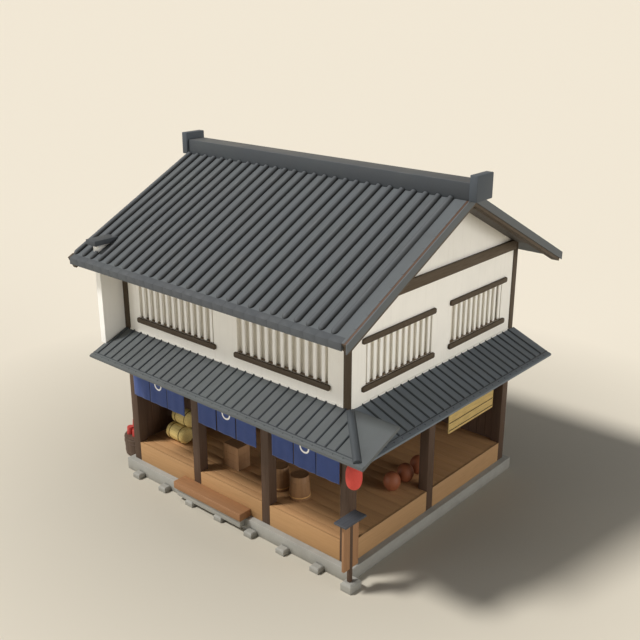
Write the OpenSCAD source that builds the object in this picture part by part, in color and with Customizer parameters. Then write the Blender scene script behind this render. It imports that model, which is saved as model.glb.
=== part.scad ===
// Corner shophouse of timber and plaster: a ground-floor shop open on two streets under a
// lapped pent roof, a low upper storey, a tiled gable roof and a sleeve wall at the party side.
// Origin on the ground at the plinth's centre. X along the shop front, Y to the back, Z up.

/* [Plinth and step] */
// Plinth length along the front
plinth_w = 5960; // [5000:10:7200]
// Plinth depth
plinth_d = 5240; // [4600:10:6400]
// Plinth height
plinth_h = 250; // [150:5:400]
// Set-back of the timber frame from the plinth edge
frame_inset = 120; // [80:5:180]
// Number of kerb stones along the front
kerb_count = 7; // [5:1:8]
// Kerb stone length
kerb_w = 200; // [120:5:300]
// Kerb stone projection
kerb_d = 162; // [120:2:220]
// Kerb stone height
kerb_h = 86; // [50:2:110]
// Distance of the last kerb stones from the plinth's ends
kerb_end = 562; // [400:2:700]
// Shift of the kerb row along the front
kerb_shift = -95; // [-150:5:150]
// Step board length
step_w = 1840; // [1200:10:2400]
// Step board projection in front of the frame
step_d = 285; // [240:5:320]
// Step board thickness
step_t = 148; // [60:2:180]
// Step board centre along the front
step_x = -390; // [-600:10:600]
// Step stone set back from the board's front edge
step_lip = 40; // [20:5:80]

/* [Ground storey] */
// Ground post side
post = 195; // [140:5:240]
// Floor height above the plinth
floor_h = 410; // [300:10:560]
// Floor deck thickness
deck_t = 60; // [40:5:90]
// Skirt board thickness under the deck
skirt_t = 45; // [30:5:80]
// Place of the side post, as a share of the depth
side_share = 0.47; // [0.38:0.01:0.58]
// Ground storey height from the plinth to the girder's top
ground_h = 2510; // [2300:10:2900]
// Girder height
girder_h = 200; // [140:5:280]
// Girder width
girder_t = 160; // [120:5:195]
// Ground wall thickness
ground_wall_t = 120; // [80:5:180]

/* [Upper storey] */
// Upper floor thickness
upper_deck_t = 40; // [30:5:80]
// Upper wall thickness
wall_t = 150; // [110:5:200]
// Depth of the plaster face behind the posts
plaster_back = 15; // [5:1:30]
// Upper corner post side
upper_post = 150; // [120:5:200]
// Window sill height above the upper floor
sill_up = 640; // [560:10:800]
// Window opening height
win_h = 720; // [400:10:760]
// Pier between the front windows
front_pier = 600; // [300:10:900]
// Plaster between a corner post and a front window
front_edge = 330; // [150:10:600]
// Pier between the side windows
side_pier = 574; // [300:2:900]
// Plaster between a corner post and a side window
side_edge = 243; // [150:1:500]
// Window rail height
rail_h = 100; // [60:5:120]
// Window rail overhang past the opening at each end
rail_over = 60; // [30:5:90]
// Window rail projection from the plaster
rail_out = 45; // [25:5:70]
// Window rail end bevel
rail_bevel = 22; // [8:2:28]
// Screen thickness behind the window bars
screen_t = 18; // [10:1:30]
// Screen depth behind the plaster face
screen_back = 75; // [50:5:100]
// Gable beam height
gable_beam_h = 190; // [120:5:240]
// Gable beam projection from the plaster
gable_beam_out = 60; // [30:5:90]

/* [Main roof] */
// Height of the eave's upper edge above the upper floor
eave_up = 1805; // [1700:5:2100]
// Roof slope, rise over run
slope = 0.512; // [0.4:0.004:0.6]
// Eave overhang past the frame
eave_over = 760; // [600:10:900]
// Verge overhang past the frame
verge_over = 540; // [420:10:640]
// Roof thickness, measured upright
roof_t = 120; // [90:5:160]
// Verge board thickness
verge_t = 80; // [40:5:100]
// Verge board drop below the roof
verge_drop = 90; // [60:5:130]
// Verge tile drop below the roof
verge_tile_drop = 30; // [10:5:50]
// Verge tile thickness outside the board at the open side
verge_in = 20; // [12:2:40]
// Ridge box width
ridge_w = 400; // [300:10:480]
// Ridge box height above the roof's peak
ridge_h = 196; // [150:2:260]
// Ridge end block width
ridge_end_w = 480; // [420:10:560]
// Ridge end block length
ridge_end_l = 150; // [100:5:200]
// Ridge end block rise above the ridge box
ridge_end_up = 136; // [60:2:180]
// Ridge end block drop below the roof's peak
ridge_end_drop = 100; // [60:5:140]

/* [Pent roof] */
// Height above the upper floor where the pent roof meets the wall
pent_up = 325; // [260:5:400]
// Pent roof slope, rise over run
pent_slope = 0.41; // [0.3:0.01:0.5]
// Pent roof overhang past the frame
pent_over = 850; // [650:10:950]
// Pent roof thickness, measured upright
pent_t = 58; // [48:2:80]
// Upper layer of the pent roof's edge
pent_lip = 30; // [20:2:40]
// Set-back of the lower layer at the edge
pent_lip_in = 25; // [15:5:40]
// How far the front slope runs past the side eave
pent_past = 75; // [40:5:120]
// How far the front slope reaches behind the wall line at the corner
pent_lap = 50; // [30:5:80]
// Pent roof overhang past the frame at its plain ends
pent_end = 50; // [30:5:90]
// Hip roll radius
hip_r = 66; // [50:2:80]

/* [Sleeve wall] */
// Sleeve wall thickness
sleeve_t = 145; // [110:5:180]
// Sleeve wall projection in front of the frame
sleeve_out = 486; // [400:2:600]
// Sleeve wall lap along the party side
sleeve_lap = 160; // [120:5:240]
// Rise of the sleeve wall's top above the eave
sleeve_up = 255; // [195:5:295]
// Sleeve cap thickness
cap_t = 100; // [60:5:120]
// Sleeve cap overhang
cap_over = 70; // [40:5:90]

/* [Shop fittings] */
// Curtain rod side
rod = 30; // [20:2:40]
// Drop of the curtain rod's underside below the girder
rod_down = 160; // [50:10:260]
// Width left free beside each curtain in its bay
curtain_free = 116; // [60:4:300]
// Shift of the outer curtains away from the middle
curtain_shift = 73; // [0:1:80]
// Curtain length
curtain_l = 680; // [400:10:900]
// Curtain cloth thickness in the solid
curtain_t = 8; // [4:1:12]
// Slit between curtain panels
curtain_slit = 14; // [6:2:30]
// Gap between the side post and the reed blind
blind_near = 570; // [60:10:800]
// Gap between the back post and the reed blind
blind_far = 234; // [60:2:500]
// Reed blind length
blind_l = 1030; // [500:10:1200]
// Reed blind thickness
blind_t = 14; // [8:1:24]
// Lantern radius
lantern_r = 132; // [100:2:180]
// Lantern height
lantern_h = 440; // [360:10:500]
// Lantern distance outside both street faces
lantern_out = 475; // [400:5:560]
// Drop of the lantern's bottom below the girder's top
lantern_down = 635; // [560:5:800]
// Lantern hook radius
hook_r = 8; // [5:1:12]

/* [Signpost] */
// Sign stone side
sign_stone_w = 220; // [180:5:280]
// Sign stone overlap with the plinth's end
sign_lap = 15; // [5:1:40]
// Sign stone height
sign_stone_h = 140; // [80:5:180]
// Sign post side
sign_post_w = 66; // [62:2:90]
// Sign post height above its stone
sign_post_h = 1190; // [1000:10:1500]
// Sign board width
sign_board_w = 370; // [280:5:440]
// Sign board height
sign_board_h = 895; // [600:5:960]
// Sign board thickness
sign_board_t = 52; // [30:2:60]
// Sign roof length
sign_roof_l = 525; // [460:5:640]
// Sign roof width
sign_roof_w = 255; // [180:5:300]
// Sign roof thickness
sign_roof_t = 36; // [20:2:50]

/* [Goods] */
// Water tub radius at the rim
tub_r = 402; // [360:2:460]
// Water tub taper, rim to foot
tub_taper = 50; // [20:5:80]
// Water tub height
tub_h = 390; // [340:5:480]
// Water tub lid thickness
tub_lid = 26; // [18:2:40]
// Water tub centre behind the plinth's front
tub_back = 720; // [500:5:1000]
// Fire bucket radius
bucket_r = 90; // [70:1:100]
// Fire bucket height
bucket_h = 160; // [120:5:200]
// Clear walkway between the front posts and the goods
goods_back = 205; // [80:5:280]
// Straw bale radius
bale_r = 188; // [140:4:210]
// Straw bale length
bale_l = 600; // [480:10:700]
// Straw bale distance from the party post
bale_in = 225; // [60:5:500]
// Crate length
crate_w = 402; // [320:2:500]
// Crate depth
crate_d = 305; // [240:5:400]
// Crate height
crate_h = 486; // [380:2:600]
// Crate distance from the second post
crate_in = 136; // [60:4:600]
// Crate set behind the front of the goods
crate_back = 95; // [0:5:200]
// Pail radius at the foot
pail_r = 204; // [160:4:216]
// Pail taper, foot to rim
pail_taper = 33; // [10:1:50]
// Pail height
pail_h = 462; // [360:2:540]
// Pail wall thickness
pail_t = 18; // [12:1:26]
// Pail pitch along the front
pail_pitch = 495; // [440:5:560]
// Distance of the last pail from the corner post
pail_in = 1260; // [700:10:1400]
// Jar radius
jar_r = 160; // [120:5:165]
// Jar height
jar_h = 370; // [280:5:440]
// Jar pitch along the side
jar_pitch = 414; // [330:2:480]
// Jar distance from the side skirt
jar_in = 325; // [120:5:400]
// Distance of the last jar behind the side post's front
jar_gap = 460; // [250:5:600]
// Fine joint between boards, and between round goods that stand together
clear = 0.3; // [0.2:0.1:1]

/* [Hidden] */
$fn = 40;
fx = plinth_w / 2 - frame_inset;
fy = plinth_d / 2 - frame_inset;
bay = (2 * fx - post) / 3;
floor_z = plinth_h + floor_h;
girder_z = plinth_h + ground_h;
upper_z = girder_z + upper_deck_t;
sill_z = upper_z + sill_up;
eave_z = upper_z + eave_up;
pent_z = upper_z + pent_up;
sleeve_z = eave_z + sleeve_up;
rod_z = girder_z - girder_h - rod_down;
lantern_z = girder_z - lantern_down;
ye = fy + eave_over;
xv = fx + verge_over;
xb = xv - verge_in - verge_t;
peak_z = eave_z + slope * ye;
px1 = fx + pent_over;
py0 = -fy - pent_over;
side_y = -fy + side_share * (2 * fy - post);
win_front_w = fx - upper_post - front_edge - front_pier / 2;
win_front_x = front_pier / 2 + win_front_w / 2;
win_side_w = fy - upper_post - side_edge - side_pier / 2;
win_side_y = side_pier / 2 + win_side_w / 2;
curtain_w = bay - post - curtain_free;
cap_back = (sleeve_z + cap_t - peak_z) / slope;
kerb_pitch = (plinth_w - 2 * kerb_end) / (kerb_count - 1);
// the sign stands at the street corner, its stone against the plinth's front
sign_x = plinth_w / 2 + sign_stone_w / 2 - sign_lap;
sign_y = -plinth_d / 2 - sign_stone_w / 2;
sign_top = sign_stone_h + sign_post_h;
// the tub's side rests against the plinth's top edge
tub_x = -plinth_w / 2 - clear - tub_r + tub_taper * (1 - plinth_h / tub_h);
tub_y = -plinth_d / 2 + tub_back;
goods_y = -fy + post + goods_back;

function top(y) = peak_z - slope * abs(y);
function under(y) = top(y) - roof_t;
function pent(o) = pent_z - pent_slope * o;

// extrude a Y-Z outline along X
module along_x(x0, x1, pts) {
  translate([x0, 0, 0])
    rotate([90, 0, 90])
      linear_extrude(x1 - x0) polygon(pts);
}

// extrude an X-Z outline along Y
module along_y(y0, y1, pts) {
  translate([0, y1, 0])
    rotate([90, 0, 0])
      linear_extrude(y1 - y0) polygon(pts);
}

module box(a, b) {
  translate(a) cube(b - a);
}

// block with bevelled upper edges
module bevel_block(w, d, h, b) {
  intersection() {
    along_x(0, w, [[0, 0], [d, 0], [d, h - b], [d - b, h], [b, h], [0, h - b]]);
    along_y(0, d, [[0, 0], [w, 0], [w, h - b], [w - b, h], [b, h], [0, h - b]]);
  }
}

module stone_plinth() {
  color("gray")
    box([-plinth_w / 2, -plinth_d / 2, 0], [plinth_w / 2, plinth_d / 2, plinth_h]);
}

module kerb_stones() {
  color("darkgray")
    for (i = [0 : kerb_count - 1])
      translate([(i - (kerb_count - 1) / 2) * kerb_pitch + kerb_shift - kerb_w / 2,
          -plinth_d / 2 - kerb_d, 0])
        bevel_block(kerb_w, kerb_d, kerb_h, kerb_h / 4);
}

module step_stone() {
  color("dimgray")
    box([step_x - step_w / 2 + step_lip, -fy - step_d + step_lip, kerb_h],
      [step_x + step_w / 2 - step_lip, -plinth_d / 2, plinth_h]);
}

module step_board() {
  color("peru")
    box([step_x - step_w / 2, -fy - step_d, plinth_h],
      [step_x + step_w / 2, -fy, plinth_h + step_t]);
}

module ground_post(x, y) {
  box([x, y, plinth_h], [x + post, y + post, girder_z - girder_h]);
}

module front_posts() {
  color("saddlebrown")
    for (i = [0 : 3]) ground_post(-fx + i * bay, -fy);
}

module side_posts() {
  color("saddlebrown") {
    ground_post(fx - post, side_y);
    ground_post(fx - post, fy - post);
    ground_post(-fx, fy - post);
  }
}

module floor_deck() {
  color("burlywood")
    difference() {
      box([-fx + ground_wall_t, -fy + skirt_t, floor_z - deck_t],
        [fx - skirt_t, fy - ground_wall_t, floor_z]);
      front_posts();
      side_posts();
    }
}

module floor_skirt() {
  color("tan") {
    for (i = [0 : 2])
      box([-fx + i * bay + post, -fy, plinth_h], [-fx + (i + 1) * bay, -fy + skirt_t, floor_z]);
    box([fx - skirt_t, -fy + post, plinth_h], [fx, side_y, floor_z]);
    box([fx - skirt_t, side_y + post, plinth_h], [fx, fy - post, floor_z]);
  }
}

module ground_walls() {
  color("sienna") {
    box([-fx, -fy + post, plinth_h], [-fx + ground_wall_t, fy - post, girder_z - girder_h]);
    box([-fx + post, fy - ground_wall_t, plinth_h], [fx - post, fy, girder_z - girder_h]);
  }
}

module girder_ring() {
  color("saddlebrown")
    difference() {
      box([-fx, -fy, girder_z - girder_h], [fx, fy, girder_z]);
      box([-fx + girder_t, -fy + girder_t, girder_z - girder_h - 1],
        [fx - girder_t, fy - girder_t, girder_z + 1]);
    }
}

module upper_floor() {
  color("burlywood") box([-fx, -fy, girder_z], [fx, fy, upper_z]);
}

// long wall under an eave, with its plaster set back above the pent roof
module long_wall() {
  band = pent_z + 30;
  along_x(-fx + upper_post, fx - upper_post, [
    [-fy, upper_z], [-fy + wall_t, upper_z], [-fy + wall_t, under(fy - wall_t)],
    [-fy + plaster_back, under(fy - plaster_back)], [-fy + plaster_back, band], [-fy, band]]);
}

// gable wall for the side at +X
module gable_wall() {
  yw = fy - upper_post;
  along_x(fx - wall_t, fx - plaster_back,
    [[-yw, upper_z], [yw, upper_z], [yw, under(yw)], [0, under(0)], [-yw, under(yw)]]);
  box([fx - plaster_back, -yw, upper_z], [fx, yw, pent_z + 30]);
}

module front_windows() {
  for (s = [-1, 1])
    box([s * win_front_x - win_front_w / 2, -fy - 1, sill_z],
      [s * win_front_x + win_front_w / 2, -fy + wall_t + 1, sill_z + win_h]);
}

module side_windows() {
  for (s = [-1, 1])
    box([fx - wall_t - 1, s * win_side_y - win_side_w / 2, sill_z],
      [fx + 1, s * win_side_y + win_side_w / 2, sill_z + win_h]);
}

module upper_wall_front() {
  color("linen")
    difference() {
      long_wall();
      front_windows();
    }
}

module upper_wall_back() {
  color("linen") mirror([0, 1, 0]) long_wall();
}

module upper_wall_right() {
  color("linen")
    difference() {
      gable_wall();
      side_windows();
    }
}

module upper_wall_left() {
  color("linen") mirror([1, 0, 0]) gable_wall();
}

module upper_posts() {
  color("saddlebrown")
    for (sx = [0, 1], sy = [0, 1])
      mirror([sx, 0, 0])
        mirror([0, sy, 0])
          along_x(fx - upper_post, fx, [[-fy, upper_z], [-fy + upper_post, upper_z],
            [-fy + upper_post, under(fy - upper_post)], [-fy, under(fy)]]);
}

module gable_beams() {
  yw = fy - upper_post;
  color("saddlebrown")
    for (sx = [0, 1])
      mirror([sx, 0, 0])
        box([fx - plaster_back, -yw, under(yw) - gable_beam_h],
          [fx - plaster_back + gable_beam_out, yw, under(yw)]);
}

module window_screens() {
  y0 = -fy + plaster_back + screen_back;
  x0 = fx - plaster_back - screen_back;
  color("wheat") {
    intersection() {
      front_windows();
      box([-fx, y0, sill_z], [fx, y0 + screen_t, sill_z + win_h]);
    }
    intersection() {
      side_windows();
      box([x0 - screen_t, -fy, sill_z], [x0, fy, sill_z + win_h]);
    }
  }
}

// bevelled rail of length l, lying on the plaster with its foot at z = 0
module rail(l) {
  b = rail_bevel;
  along_y(-rail_out, 0, [[-l / 2 + b, 0], [l / 2 - b, 0], [l / 2, b], [l / 2, rail_h - b],
    [l / 2 - b, rail_h], [-l / 2 + b, rail_h], [-l / 2, rail_h - b], [-l / 2, b]]);
}

module window_rails() {
  color("saddlebrown")
    for (s = [-1, 1], z = [sill_z - rail_h, sill_z + win_h]) {
      translate([s * win_front_x, -fy + plaster_back, z]) rail(win_front_w + 2 * rail_over);
      translate([fx - plaster_back, s * win_side_y, z])
        rotate([0, 0, 90]) rail(win_side_w + 2 * rail_over);
    }
}

module sleeve_shape() {
  along_x(-fx - sleeve_t, -fx, [[-fy - sleeve_out, pent(sleeve_out)], [-fy, pent_z],
    [-fy + sleeve_lap, pent_z], [-fy + sleeve_lap, sleeve_z], [-fy - sleeve_out, sleeve_z]]);
}

module cap_shape() {
  box([-fx - sleeve_t - cap_over, -fy - sleeve_out - cap_over, sleeve_z],
    [-fx + cap_over, cap_back, sleeve_z + cap_t]);
}

module sleeve_wall() {
  color("white") sleeve_shape();
}

module sleeve_cap() {
  color("slategray") cap_shape();
}

// one slope: its slab up to the board in the open verge, and the verge tiles outside the board
module roof_slope() {
  t = roof_t + verge_tile_drop;
  along_x(-xv, xb, [[-ye, top(ye)], [0, peak_z], [0, under(0)], [-ye, under(ye)]]);
  along_x(xv - verge_in, xv, [[-ye, top(ye)], [0, peak_z], [0, peak_z - t], [-ye, top(ye) - t]]);
}

module main_roof_front() {
  color("slategray")
    difference() {
      roof_slope();
      sleeve_shape();
      cap_shape();
    }
}

module main_roof_back() {
  color("slategray") mirror([0, 1, 0]) roof_slope();
}

module ridge_end_block() {
  box([xv, -ridge_end_w / 2, peak_z - ridge_end_drop],
    [xv + ridge_end_l, ridge_end_w / 2, peak_z + ridge_h + ridge_end_up]);
}

// verge board outline in Y-Z, its eave end cut square to the slope
function verge_outline() = let(t = (roof_t + verge_drop) / (1 + slope * slope))
  [[-ye, top(ye)], [-clear, top(clear)], [-clear, under(clear) - verge_drop],
    [-ye + slope * t, top(ye) - t]];

// the four verge boards meet at the ridge with a fine joint
module verge_boards() {
  color("saddlebrown")
    for (sy = [0, 1])
      mirror([0, sy, 0]) {
        along_x(xb, xv - verge_in, verge_outline());
        difference() {
          along_x(-xv - verge_t / 2, -xv, verge_outline());
          mirror([1, 0, 0]) ridge_end_block();
        }
      }
}

module ridge_box() {
  w = ridge_w / 2;
  color("dimgray")
    along_x(-xv, xv, [[-w, top(w)], [0, peak_z], [w, top(w)],
      [w, peak_z + ridge_h], [-w, peak_z + ridge_h]]);
}

module ridge_ends() {
  color("gray")
    for (sx = [0, 1]) mirror([sx, 0, 0]) ridge_end_block();
}

// pent roof profile: distance out from the wall against height, with a stepped edge
function pent_profile(o0) = [[pent_over, pent(pent_over)], [o0, pent(o0)], [o0, pent(o0) - pent_t],
  [pent_over - pent_lip_in, pent(pent_over - pent_lip_in) - pent_t],
  [pent_over - pent_lip_in, pent(pent_over - pent_lip_in) - pent_lip],
  [pent_over, pent(pent_over) - pent_lip]];

module pent_roof_front() {
  color("slategray") {
    along_x(-fx - pent_end, fx, [for (p = pent_profile(0)) [-fy - p[0], p[1]]]);
    along_x(fx, px1 + pent_past, [for (p = pent_profile(-pent_lap)) [-fy - p[0], p[1]]]);
  }
}

// the side slope tucks under the front one along a line beside the hip
module pent_roof_right() {
  tuck = pent_t / pent_slope;
  color("slategray")
    intersection() {
      along_y(py0, fy + pent_end, [for (p = pent_profile(0)) [fx + p[0], p[1]]]);
      linear_extrude(pent_z + 1)
        polygon([[fx, -fy + pent_lap], [fx + tuck - pent_lap, -fy + pent_lap],
          [px1 + 1, py0 + tuck - 1], [px1 + 1, fy + pent_end], [fx, fy + pent_end]]);
    }
}

module hip_roll() {
  o0 = 0.35 * hip_r;
  run = pent_over - hip_r - o0;
  drop = pent_slope * run;
  color("dimgray")
    difference() {
      translate([fx + o0, -fy - o0, pent(o0)])
        rotate([0, 90 + atan2(drop, run * sqrt(2)), -45])
          cylinder(h = sqrt(2 * run * run + drop * drop), r = hip_r);
      along_x(fx - 2 * hip_r, px1 + 2 * hip_r, [[py0 - hip_r, pent(pent_over + hip_r)],
        [-fy + 2 * hip_r, pent(-2 * hip_r)], [-fy + 2 * hip_r, 0], [py0 - hip_r, 0]]);
    }
}

module curtain_rod() {
  z = rod_z;
  color("sienna") box([-fx, -fy - rod, z], [fx, -fy, z + rod]);
}

// three panels joined by a band at the rod
module curtain(i) {
  z1 = rod_z + rod;
  panel = (curtain_w - 2 * curtain_slit) / 3;
  x0 = i * (bay + curtain_shift) - curtain_w / 2;
  color("midnightblue")
    difference() {
      box([x0, -fy - rod - curtain_t, z1 - curtain_l], [x0 + curtain_w, -fy - rod, z1]);
      for (k = [1, 2])
        translate([x0 + k * panel + (k - 1) * curtain_slit, -fy - rod - curtain_t - 1,
            z1 - curtain_l - 1])
          cube([curtain_slit, curtain_t + 2, curtain_l * 0.8]);
    }
}

module curtain_left() {
  curtain(-1);
}

module curtain_middle() {
  curtain(0);
}

module curtain_right() {
  curtain(1);
}

module reed_blind() {
  z1 = girder_z - girder_h;
  x1 = fx - girder_t / 2;
  color("khaki")
    box([x1 - blind_t, side_y + post + blind_near, z1 - blind_l],
      [x1, fy - post - blind_far, z1]);
}

module lantern() {
  n = 14;
  pts = [for (i = [0 : n]) [lantern_r * pow(1 - pow(abs(2 * i / n - 1), 2.6) * 0.93, 1 / 2.4),
    lantern_h * i / n]];
  color("firebrick")
    translate([fx + lantern_out, -fy - lantern_out, lantern_z]) {
      rotate_extrude() polygon(concat([[0, 0]], pts, [[0, lantern_h]]));
      difference() {
        translate([0, 0, lantern_h])
          cylinder(h = pent_z - lantern_z - lantern_h, r = hook_r);
        translate([-fx - lantern_out, fy + lantern_out, -lantern_z])
          along_x(fx, px1 + pent_past, [[py0, pent(pent_over) - pent_t], [-fy, pent_z - pent_t],
            [-fy, 2 * pent_z], [py0, 2 * pent_z]]);
      }
    }
}

module sign_stone() {
  color("darkgray")
    translate([sign_x - sign_stone_w / 2, sign_y - sign_stone_w / 2, 0])
      bevel_block(sign_stone_w, sign_stone_w, sign_stone_h, sign_stone_h / 4);
}

module sign_post() {
  w = sign_post_w / 2;
  color("saddlebrown")
    box([sign_x - w, sign_y - w, sign_stone_h], [sign_x + w, sign_y + w, sign_top]);
}

// two leaves, one on each side of the post
module sign_board() {
  x1 = sign_x + sign_post_w / 2 - 3;
  color("tan")
    difference() {
      box([x1 - sign_board_t, sign_y - sign_board_w / 2, sign_top - sign_board_h],
        [x1, sign_y + sign_board_w / 2, sign_top]);
      sign_post();
    }
}

module sign_roof() {
  color("darkslateblue")
    box([sign_x - sign_roof_w / 2, sign_y - sign_roof_l / 2, sign_top],
      [sign_x + sign_roof_w / 2, sign_y + sign_roof_l / 2, sign_top + sign_roof_t]);
}

module water_tub() {
  color("saddlebrown")
    translate([tub_x, tub_y, 0]) {
      cylinder(h = tub_h, r1 = tub_r - tub_taper, r2 = tub_r);
      translate([0, 0, tub_h]) cylinder(h = tub_lid, r = tub_r - tub_lid);
    }
}

// pyramid of buckets, mouth down, on the tub's lid
module fire_buckets() {
  p = 2 * bucket_r + clear;
  color("red")
    translate([tub_x, tub_y, tub_h + tub_lid])
      for (k = [3 : -1 : 1], i = [0 : k - 1], j = [0 : k - 1])
        translate([(i - (k - 1) / 2) * p, (j - (k - 1) / 2) * p, (3 - k) * (bucket_h + clear)])
          cylinder(h = bucket_h, r1 = bucket_r, r2 = bucket_r * 0.8);
}

// bale along X with rounded ends, centred on its axis
module bale() {
  b = bale_r * 0.22;
  rotate([0, 90, 0])
    rotate_extrude()
      polygon([[0, -bale_l / 2], [bale_r - b, -bale_l / 2], [bale_r, -bale_l / 2 + b],
        [bale_r, bale_l / 2 - b], [bale_r - b, bale_l / 2], [0, bale_l / 2]]);
}

module straw_bales() {
  p = bale_r + clear / 2;
  color("goldenrod")
    translate([-fx + post + bale_in + bale_l / 2, goods_y + bale_r, floor_z + bale_r + clear]) {
      bale();
      translate([0, 2 * p, 0]) bale();
      translate([0, p, p * sqrt(3)]) bale();
    }
}

module crate() {
  x0 = -fx + bay + post + crate_in;
  y0 = goods_y + crate_back;
  color("chocolate") box([x0, y0, floor_z], [x0 + crate_w, y0 + crate_d, floor_z + crate_h]);
}

module pail() {
  color("burlywood")
    difference() {
      cylinder(h = pail_h, r1 = pail_r, r2 = pail_r - pail_taper);
      translate([0, 0, pail_t])
        cylinder(h = pail_h, r1 = pail_r - pail_t - pail_taper * pail_t / pail_h,
          r2 = pail_r - pail_t - pail_taper * (1 + pail_t / pail_h));
    }
}

module pails() {
  x1 = fx - post - pail_in - pail_r;
  for (i = [0, 1]) translate([x1 - i * pail_pitch, goods_y + pail_r, floor_z]) pail();
}

module jar() {
  n = 12;
  lift = jar_h / (2 * cos(180 / n));
  rotate_extrude()
    polygon(concat([[0, 0]],
      [for (i = [1 : n - 1]) [jar_r * sin(180 * i / n), lift * (cos(180 / n) - cos(180 * i / n))]],
      [[0, jar_h]]));
}

module jars() {
  color("brown")
    for (i = [0 : 2])
      translate([fx - skirt_t - jar_in - jar_r, side_y + jar_gap - i * jar_pitch, floor_z])
        jar();
}

stone_plinth();
kerb_stones();
step_stone();
step_board();
floor_deck();
floor_skirt();
front_posts();
side_posts();
ground_walls();
girder_ring();
upper_floor();
upper_wall_front();
upper_wall_right();
upper_wall_back();
upper_wall_left();
upper_posts();
gable_beams();
window_screens();
window_rails();
sleeve_wall();
sleeve_cap();
main_roof_front();
main_roof_back();
verge_boards();
ridge_box();
ridge_ends();
pent_roof_front();
pent_roof_right();
hip_roll();
curtain_rod();
curtain_left();
curtain_middle();
curtain_right();
reed_blind();
lantern();
sign_stone();
sign_post();
sign_board();
sign_roof();
water_tub();
fire_buckets();
straw_bales();
crate();
pails();
jars();
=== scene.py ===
import math
import random

import bmesh
import bpy
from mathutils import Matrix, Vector, noise


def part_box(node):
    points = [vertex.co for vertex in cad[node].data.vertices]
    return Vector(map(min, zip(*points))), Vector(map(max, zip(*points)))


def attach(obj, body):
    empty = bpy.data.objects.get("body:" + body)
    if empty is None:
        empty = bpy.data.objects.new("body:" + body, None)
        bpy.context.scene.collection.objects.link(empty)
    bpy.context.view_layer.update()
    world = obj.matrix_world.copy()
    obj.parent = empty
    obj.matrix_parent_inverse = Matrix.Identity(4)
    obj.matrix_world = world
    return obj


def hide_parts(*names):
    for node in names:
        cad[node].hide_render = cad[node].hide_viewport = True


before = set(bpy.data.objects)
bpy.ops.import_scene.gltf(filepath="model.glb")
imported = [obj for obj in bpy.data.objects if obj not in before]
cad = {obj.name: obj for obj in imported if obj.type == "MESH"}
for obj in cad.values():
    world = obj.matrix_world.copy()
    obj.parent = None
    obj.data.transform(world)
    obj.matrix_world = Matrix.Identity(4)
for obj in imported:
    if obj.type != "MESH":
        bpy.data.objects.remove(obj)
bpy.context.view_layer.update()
scene = bpy.context.scene
scene.view_settings.view_transform = "Standard"
print("frame loaded with", len(cad), "nodes")


def tint(red, green, blue):  # display colour to a shader's colour
    return tuple((c / 255 / 12.92) if c < 11 else ((c / 255 + 0.055) / 1.055) ** 2.4
                 for c in (red, green, blue)) + (1.0,)


def deepen(colour, share):
    return tuple(c * share for c in colour[:3]) + (1.0,)


def linked(name, data):  # a new object in the scene
    made = bpy.data.objects.new(name, data)
    scene.collection.objects.link(made)
    return made


def put(tree, kind, ins=None, **props):  # adds a node, sets or links its inputs
    made = tree.nodes.new(kind)
    for key, value in props.items():
        setattr(made, key, value)
    for key, value in (ins or {}).items():
        if isinstance(value, bpy.types.NodeSocket):
            tree.links.new(value, made.inputs[key])
        else:
            made.inputs[key].default_value = value
    return made


# camera and light

view = {"place": (11.0182, -12.5182, 9.3612), "turn": (69.959, 0.0, 41.279), "lens": 50.95, "sensor": 36.0,
        "reach": 8000.0}
suns = {"keyLight": {"travel": (0.50, 0.547, -1.0), "power": 2.9, "wide": 11.0},
        "frontLight": {"travel": (0.50, 0.85, -0.07), "power": 1.12, "wide": 26.0},
        "rightLight": {"travel": (-0.97, -0.12, -0.08), "power": 1.82, "wide": 40.0}}
sky = {"power": 0.155, "colour": tint(238, 245, 255)}
# the floor's near colour darkens it towards the building: painted shade, fading out between the two radii
ground = {"reach": 2500.0, "near": tint(196, 188, 171), "far": tint(244, 233, 213), "shadeFade": (3.4, 10.5)}

camera = linked("photoCamera", bpy.data.cameras.new("photoCamera"))
camera.data.lens = view["lens"]
camera.data.sensor_width = view["sensor"]
camera.data.clip_end = view["reach"]
camera.location = view["place"]
camera.rotation_euler = [math.radians(a) for a in view["turn"]]
scene.camera = camera

for name, sun in suns.items():
    light = bpy.data.lights.new(name, "SUN")
    light.energy = sun["power"]
    light.angle = math.radians(sun["wide"])
    linked(name, light).rotation_euler = Vector(sun["travel"]).to_track_quat("-Z", "Y").to_euler()

world = bpy.data.worlds.new("studio")
scene.world = world
world.use_nodes = True
air = world.node_tree
air.nodes.clear()
path = put(air, "ShaderNodeLightPath").outputs
soft = put(air, "ShaderNodeBackground", {"Color": sky["colour"], "Strength": sky["power"]})
seen = put(air, "ShaderNodeBackground", {"Color": ground["far"], "Strength": 1.0})
either = path["Is Camera Ray"]
for ray in ("Is Glossy Ray", "Is Transmission Ray"):
    either = put(air, "ShaderNodeMath", {0: either, 1: path[ray]}, operation="MAXIMUM").outputs[0]
both = put(air, "ShaderNodeMixShader", {0: either, 1: soft.outputs[0], 2: seen.outputs[0]})
put(air, "ShaderNodeOutputWorld", {"Surface": both.outputs[0]})


# finishes

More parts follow.
